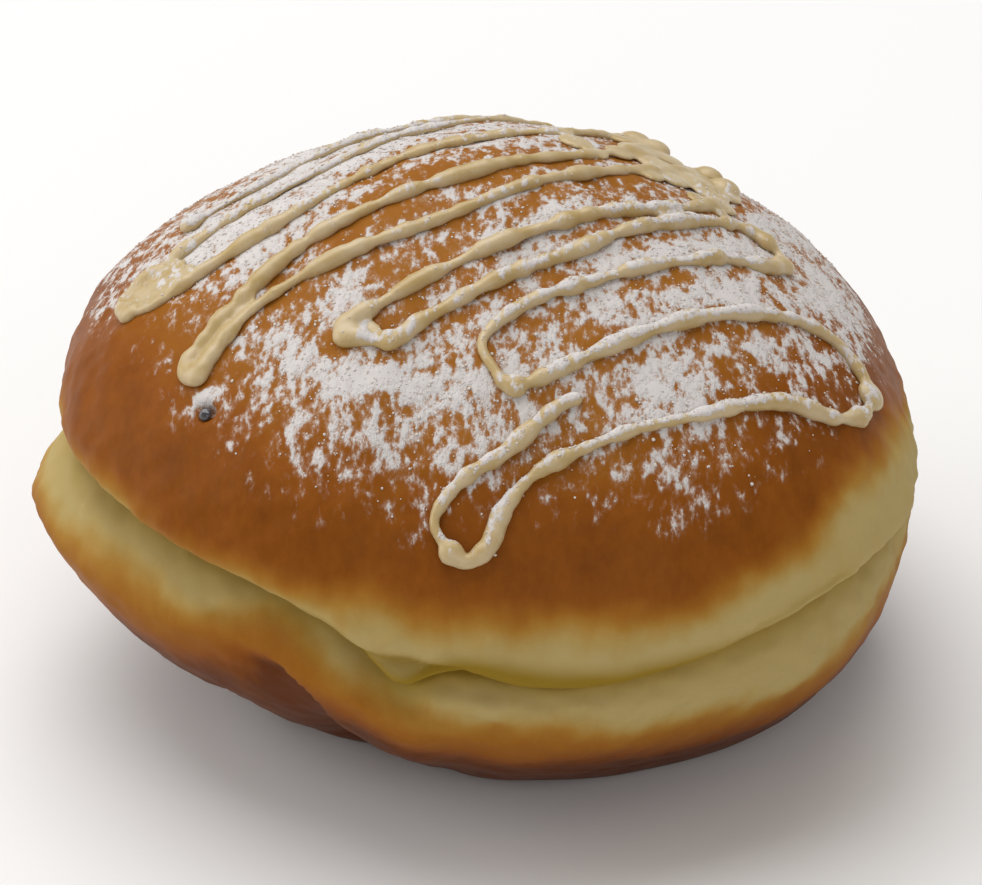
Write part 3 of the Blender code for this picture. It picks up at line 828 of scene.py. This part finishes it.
def scatter(piece, count, draw):
    """Random places on a piece with their normals, more of them where the sugar cover is thicker: a
    triangle is drawn by its area times the squared cover, and a point inside it evenly."""
    points, normals = vertex_points(piece)
    piece.data.calc_loop_triangles()
    triangles = read_values(piece.data.loop_triangles, "vertices", 3, np.int32)
    cover = read_values(piece.data.attributes["cover"].data, "value", 1, np.float32)[:, 0]
    corner = points[triangles]
    area = np.linalg.norm(np.cross(corner[:, 1] - corner[:, 0], corner[:, 2] - corner[:, 0]), axis=1)
    weight = area * cover[triangles].mean(axis=1) ** 2
    chosen = draw.choice(len(triangles), count, p=weight / weight.sum())
    share = draw.dirichlet((1, 1, 1), count)[..., None]
    normal = (normals[triangles[chosen]] * share).sum(axis=1)
    normal /= np.linalg.norm(normal, axis=1, keepdims=True)
    return (corner[chosen] * share).sum(axis=1), normal


def lump_shape():
    """Corners and outward triangles of an icosahedron of radius one."""
    golden = (1 + math.sqrt(5)) / 2
    edge = 2.0
    near = np.array([[-1, golden, 0], [1, golden, 0], [-1, -golden, 0], [1, -golden, 0]])
    corners = np.vstack([near, np.roll(near, 1, axis=1), np.roll(near, 2, axis=1)])
    faces = [
        (a, b, c)
        for a in range(12) for b in range(a + 1, 12) for c in range(b + 1, 12)
        if max(np.linalg.norm(corners[p] - corners[q]) for p, q in ((a, b), (b, c), (a, c))) < 1.05 * edge
    ]
    outward = [
        (a, b, c) if np.linalg.det(corners[[a, b, c]]) > 0 else (a, c, b) for a, b, c in faces
    ]
    return corners / np.linalg.norm(corners[0]), np.array(outward)


def make_lumps(surfaces, material):
    """Small lumps of sugar lying on the dough and the icing: icosahedra with wavering corners, each
    with a size of its own, flattened along the surface's normal."""
    draw = np.random.default_rng(SEED)
    found = [scatter(piece, count, draw) for piece, count in surfaces]
    points, normals = (np.vstack(part) for part in zip(*found))
    corners, faces = lump_shape()
    count = len(points)
    turn = np.linalg.qr(draw.normal(size=(count, 3, 3)))[0]
    turn *= np.sign(np.linalg.det(turn))[:, None, None]
    shape = corners * (1 + LUMP_ROUGHNESS * draw.normal(size=(count, len(corners), 1)))
    shape = np.einsum("nij,nkj->nki", turn, shape)
    upright = np.einsum("nki,ni->nk", shape, normals)[..., None] * normals[:, None]
    shape -= (1 - LUMP_FLATNESS) * upright
    spread = np.clip(draw.normal(size=(count, 1, 1)), *LUMP_LIMITS)
    size = LUMP_SIZE * np.exp(LUMP_SPREAD * spread)
    lumps = points[:, None] + LUMP_LIFT * size * normals[:, None] + size * shape
    faces = faces[None] + len(corners) * np.arange(count)[:, None, None]
    return make_object("sugar_lumps", lumps.reshape(-1, 3), faces.reshape(-1, 3).tolist(), material)


def make_bead(material):
    """The bead of filling in the pit: a small low drop whose surface wavers."""
    pit = bun_points(np.array([PIT_BEARING]), np.array([PIT_LATITUDE]))[0]
    x, y = pit[0] - PLACE_X, pit[1] - PLACE_Y
    surface = drop_surface(x, y, BEAD_RADIUS * PIT_RADIUS)
    _, normal = on_cap(np.array([x]), np.array([y]))
    surface = surface - BEAD_SINK * PIT_RADIUS * normal
    surface += BEAD_WAVER * ripples(surface, BEAD_WAVELENGTH, SEED + 40)[:, None] * normal
    return make_object("filling_bead", surface, grid_faces(DROP_ROWS, DROP_SIDES), material)


def add_node(tree, kind, inputs=None, **settings):
    """One shader node with its settings; each input is a value or the socket that feeds it."""
    node = tree.nodes.new(kind)
    for name, value in settings.items():
        setattr(node, name, value)
    for name, value in (inputs or {}).items():
        if isinstance(value, bpy.types.NodeSocket):
            tree.links.new(value, node.inputs[name])
        else:
            node.inputs[name].default_value = value
    return node


def arithmetic(tree, operation, *values, clamp=False):
    """The result socket of one Math node with its values in order."""
    inputs = dict(enumerate(values))
    return add_node(tree, "ShaderNodeMath", inputs, operation=operation, use_clamp=clamp).outputs[0]


def blend_colours(tree, share, first, second):
    """The colour socket of a Mix node from the first colour to the second, by its sockets' numbers."""
    inputs = {0: share, 6: first, 7: second}
    return add_node(tree, "ShaderNodeMix", inputs, data_type="RGBA").outputs[2]


def smooth_range(tree, value, low, high):
    """Zero to one as the value goes from low to high, smoothly."""
    inputs = {"Value": value, "From Min": low, "From Max": high}
    node = add_node(tree, "ShaderNodeMapRange", inputs, interpolation_type="SMOOTHSTEP")
    return node.outputs["Result"]


def vertex_value(tree, name):
    """The number that the mesh keeps under this name."""
    node = add_node(tree, "ShaderNodeAttribute", attribute_name=name, attribute_type="GEOMETRY")
    return node.outputs["Fac"]


def new_group(name, inputs, outputs):
    """An empty shader node group with its sockets, and its inner input and output nodes."""
    group = bpy.data.node_groups.new(name, "ShaderNodeTree")
    for label, value in inputs.items():
        socket = group.interface.new_socket(label, in_out="INPUT", socket_type="NodeSocketFloat")
        socket.default_value = value
    for label in outputs:
        group.interface.new_socket(label, in_out="OUTPUT", socket_type="NodeSocketFloat")
    return group, group.nodes.new("NodeGroupInput"), group.nodes.new("NodeGroupOutput")


def object_noise(tree, size, stretch=1.0, detail=3.0, roughness=0.5):
    """Noise with cells of the given size in millimetres, in the object's own space, stretched upright
    and a little from front to back, so that it runs down the steep front."""
    spot = add_node(tree, "ShaderNodeTexCoord").outputs["Object"]
    inputs = {"Vector": spot, "Scale": (1.0, stretch ** -FRONT_STRETCH, 1.0 / stretch)}
    spot = add_node(tree, "ShaderNodeMapping", inputs).outputs[0]
    inputs = {"Vector": spot, "Scale": 1 / (size * MM), "Detail": detail, "Roughness": roughness}
    return add_node(tree, "ShaderNodeTexNoise", inputs).outputs["Fac"]


def noise_about_zero(tree, contrast, *shape):
    """Noise of a shape (size, stretch, detail, roughness), moved to lie about zero and multiplied."""
    noise = arithmetic(tree, "SUBTRACT", object_noise(tree, *shape), 0.5)
    return arithmetic(tree, "MULTIPLY", noise, contrast)


def make_dusting_group():
    """Dusted sugar: the cover plus blotchy, flecked and grainy noise about zero. Where the sum passes a
    level there is sugar, thin at first, and a thin film lies round it. Nothing shows where the cover
    ends. Puts out the sugar's mask, the film's share and the sugar's height."""
    group, given, result = new_group("Dusted sugar", {"Cover": 0.5}, ("Mask", "Film", "Height"))
    level = arithmetic(group, "MULTIPLY", given.outputs["Cover"], COVER_GAIN)
    level = arithmetic(group, "SUBTRACT", level, COVER_SINK)
    for noise in (BLOTCHES, FLECKS, GRAINS):
        level = arithmetic(group, "ADD", level, noise_about_zero(group, *noise))
    within = smooth_range(group, given.outputs["Cover"], *COVER_EDGE)
    film = arithmetic(group, "MULTIPLY", smooth_range(group, level, *FILM_LEVELS), FILM_SHARE)
    height = smooth_range(group, level, SUGAR_LEVELS[0], SUGAR_HIGHEST)
    mask = smooth_range(group, level, *SUGAR_LEVELS)
    for name, value in (("Mask", mask), ("Film", film), ("Height", height)):
        group.links.new(arithmetic(group, "MULTIPLY", value, within), result.inputs[name])
    return group


def make_grain_group():
    """Fine unevenness of a food surface: a soft swell and fine grain, added by their shares."""
    group, given, result = new_group("Fine unevenness", {"Swell": 0.5, "Grain": 0.5}, ("Height",))
    parts = [
        arithmetic(group, "MULTIPLY", object_noise(group, *noise), given.outputs[label])
        for label, noise in (("Swell", SWELL_NOISE), ("Grain", GRAIN_NOISE))
    ]
    group.links.new(arithmetic(group, "ADD", *parts), result.inputs["Height"])
    return group


def new_material(name, **values):
    """A material whose Principled shader gets the given plain values; returns it with its tree and
    shader."""
    material = bpy.data.materials.new(name)
    material.use_nodes = True
    shader = material.node_tree.nodes["Principled BSDF"]
    for label, value in values.items():
        shader.inputs[label.replace("_", " ")].default_value = value
    return material, material.node_tree, shader


def colour_steps(tree, value, steps):
    """A colour ramp through (position, colour) steps."""
    node = add_node(tree, "ShaderNodeValToRGB", {"Fac": value})
    ramp = node.color_ramp
    while len(ramp.elements) < len(steps):
        ramp.elements.new(0.5)
    for element, (position, shade) in zip(ramp.elements, steps):
        element.position = position
        element.color = shade
    return node.outputs["Color"]


def soft_patches(tree, size, low, high):
    """Zero to one in soft patches: noise of a size in millimetres, between two of its levels."""
    return smooth_range(tree, object_noise(tree, size), low, high)


def raise_surface(tree, shader, grain, relief, *above):
    """Bump nodes one after another into Normal: the fine unevenness with its relief, and then each
    (height, distance in millimetres, strength) above it."""
    swell, fine, *bump = relief
    uneven = add_node(tree, "ShaderNodeGroup", {"Swell": swell, "Grain": fine}, node_tree=grain)
    normal = None
    for height, distance, strength in ((uneven.outputs["Height"], *bump), *above):
        inputs = {"Height": height, "Distance": distance * MM, "Strength": strength}
        if normal is not None:
            inputs["Normal"] = normal
        normal = add_node(tree, "ShaderNodeBump", inputs).outputs["Normal"]
    tree.links.new(normal, shader.inputs["Normal"])


def make_dough_material(dusting, grain):
    """Fried dough: browning picks the colour, painted shade darkens the seam, creases and fold, and dusted
    sugar lies on top.
    """
    material, tree, shader = new_material("fried dough", Specular_IOR_Level=0.05)
    mottle, specks = (noise_about_zero(tree, *noise) for noise in BROWN_NOISES)
    uneven_brown = arithmetic(tree, "ADD", mottle, specks)
    # The browning with painted shade beside the fold, plus its uneven noise
    brown_and_shade = arithmetic(tree, "ADD", vertex_value(tree, "brown_and_shade"), uneven_brown, clamp=True)
    base = colour_steps(tree, brown_and_shade, BROWNING_STEPS)
    # Painted shade in the seam and the thin creases
    base = blend_colours(tree, vertex_value(tree, "painted_crease_shade"), base, CREASE_SHADE_COLOUR)
    cover = {"Cover": vertex_value(tree, "cover")}
    sugar = add_node(tree, "ShaderNodeGroup", cover, node_tree=dusting)
    mask = sugar.outputs["Mask"]
    base = blend_colours(tree, sugar.outputs["Film"], base, THIN_SUGAR_COLOUR)
    powder = blend_colours(tree, mask, THIN_SUGAR_COLOUR, SUGAR_COLOUR)
    tree.links.new(blend_colours(tree, mask, base, powder), shader.inputs["Base Color"])
    crust_matte = arithmetic(tree, "MULTIPLY", smooth_range(tree, brown_and_shade, *CRUST_GLOSS), CRUST_MATTE)
    matte = arithmetic(tree, "MAXIMUM", crust_matte, mask)
    roughness = arithmetic(tree, "MULTIPLY_ADD", matte, SUGAR_ROUGHER, CRUST_ROUGHNESS)
    tree.links.new(roughness, shader.inputs["Roughness"])
    raise_surface(tree, shader, grain, DOUGH_RELIEF, (sugar.outputs["Height"], *DOUGH_SUGAR_BUMP))
    return material


def make_icing_material(dusting, grain):
    """Icing: cream with a deeper tint in soft patches, a gentle gloss, and sugar where it fell."""
    material, tree, shader = new_material(
        "icing", Subsurface_Weight=0.25, Subsurface_Radius=(1.0, 0.8, 0.4), Subsurface_Scale=1.2 * MM,
    )
    patches = soft_patches(tree, *ICING_PATCHES)
    base = blend_colours(tree, patches, ICING_COLOUR, ICING_DEEP_COLOUR)
    cover = {"Cover": vertex_value(tree, "cover")}
    sugar = add_node(tree, "ShaderNodeGroup", cover, node_tree=dusting)
    mask = sugar.outputs["Mask"]
    tree.links.new(blend_colours(tree, mask, base, SUGAR_COLOUR), shader.inputs["Base Color"])
    roughness = arithmetic(tree, "MULTIPLY_ADD", mask, SUGAR_ROUGHER, ICING_ROUGHNESS)
    tree.links.new(roughness, shader.inputs["Roughness"])
    raise_surface(tree, shader, grain, ICING_RELIEF, (sugar.outputs["Height"], *ICING_SUGAR_BUMP))
    return material


def make_mottled_material(grain, name, shades, patches, relief, **values):
    """A material whose first colour turns into the second in soft patches, with a fine relief."""
    material, tree, shader = new_material(name, **values)
    base = blend_colours(tree, soft_patches(tree, *patches), *shades)
    tree.links.new(base, shader.inputs["Base Color"])
    raise_surface(tree, shader, grain, relief)
    return material


def make_floor():
    """A plain pale floor under the bun, a hair below its flat base."""
    half = FLOOR_SIZE / 2 / MM
    corners = [(x * half, y * half, -FLOOR_GAP) for x, y in ((-1, -1), (1, -1), (1, 1), (-1, 1))]
    material = new_material("floor", Roughness=0.9, Base_Color=FLOOR_COLOUR)[0]
    floor = make_object("floor", corners, [[0, 1, 2, 3]], material)


def light_scene():
    """A soft pale sky and large soft lamps that all face the bun."""
    world = bpy.data.worlds.new("sky")
    world.use_nodes = True
    background = world.node_tree.nodes["Background"]
    background.inputs["Color"].default_value = SKY_COLOUR
    background.inputs["Strength"].default_value = SKY_STRENGTH
    bpy.context.scene.world = world
    for name, spot, size, power in LAMPS:
        lamp = bpy.data.lights.new(name, "AREA")
        lamp.size = size
        lamp.energy = power
        x, y, z = spot
        tilt = math.atan2(math.hypot(x, y), z - CENTRE_HEIGHT * MM)
        add_object(name, lamp, spot, (tilt, 0, math.atan2(x, -y)))
    bpy.context.scene.view_settings.view_transform = "Standard"


def add_camera():
    """The eye in front of the bun, looking down on it, with the target at its place in the picture."""
    lens = bpy.data.cameras.new("eye")
    lens.sensor_width = SENSOR_WIDTH
    lens.lens = SENSOR_WIDTH * FOCAL_PIXELS / PICTURE_WIDTH
    lens.shift_x = (PICTURE_WIDTH / 2 - TARGET_PIXEL[0]) / PICTURE_WIDTH
    lens.shift_y = (TARGET_PIXEL[1] - PICTURE_HEIGHT / 2) / PICTURE_WIDTH
    lens.clip_start = NEAREST
    angle = math.radians(EYE_ELEVATION)
    reach = EYE_DISTANCE * MM
    spot = (0, -reach * math.cos(angle), TARGET_HEIGHT * MM + reach * math.sin(angle))
    bpy.context.scene.camera = add_object("eye", lens, spot, (math.pi / 2 - angle, 0, 0))


def build():
    """The camera, the lamps, the floor and the four pieces, which all ride on the root."""
    add_camera()
    light_scene()
    make_floor()
    dusting = make_dusting_group()
    grain = make_grain_group()
    dough = make_dough(make_dough_material(dusting, grain))
    icing = make_icing(make_icing_material(dusting, grain))
    sugar = make_mottled_material(
        grain, "sugar", SUGAR_SHADES, SUGAR_PATCHES, SUGAR_RELIEF, Roughness=0.9,
    )
    lumps = make_lumps(((dough, DOUGH_LUMPS), (icing, ICING_LUMPS)), sugar)
    filling = make_mottled_material(
        grain, "filling", FILLING_SHADES, FILLING_PATCHES, FILLING_RELIEF, Roughness=0.16, Coat_Weight=0.5,
    )
    bead = make_bead(filling)
    for piece, slot in ((dough, "crust"), (icing, "icing"), (lumps, "sugar"), (bead, "crust")):
        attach(piece, "root")
    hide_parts("beignet")


build()
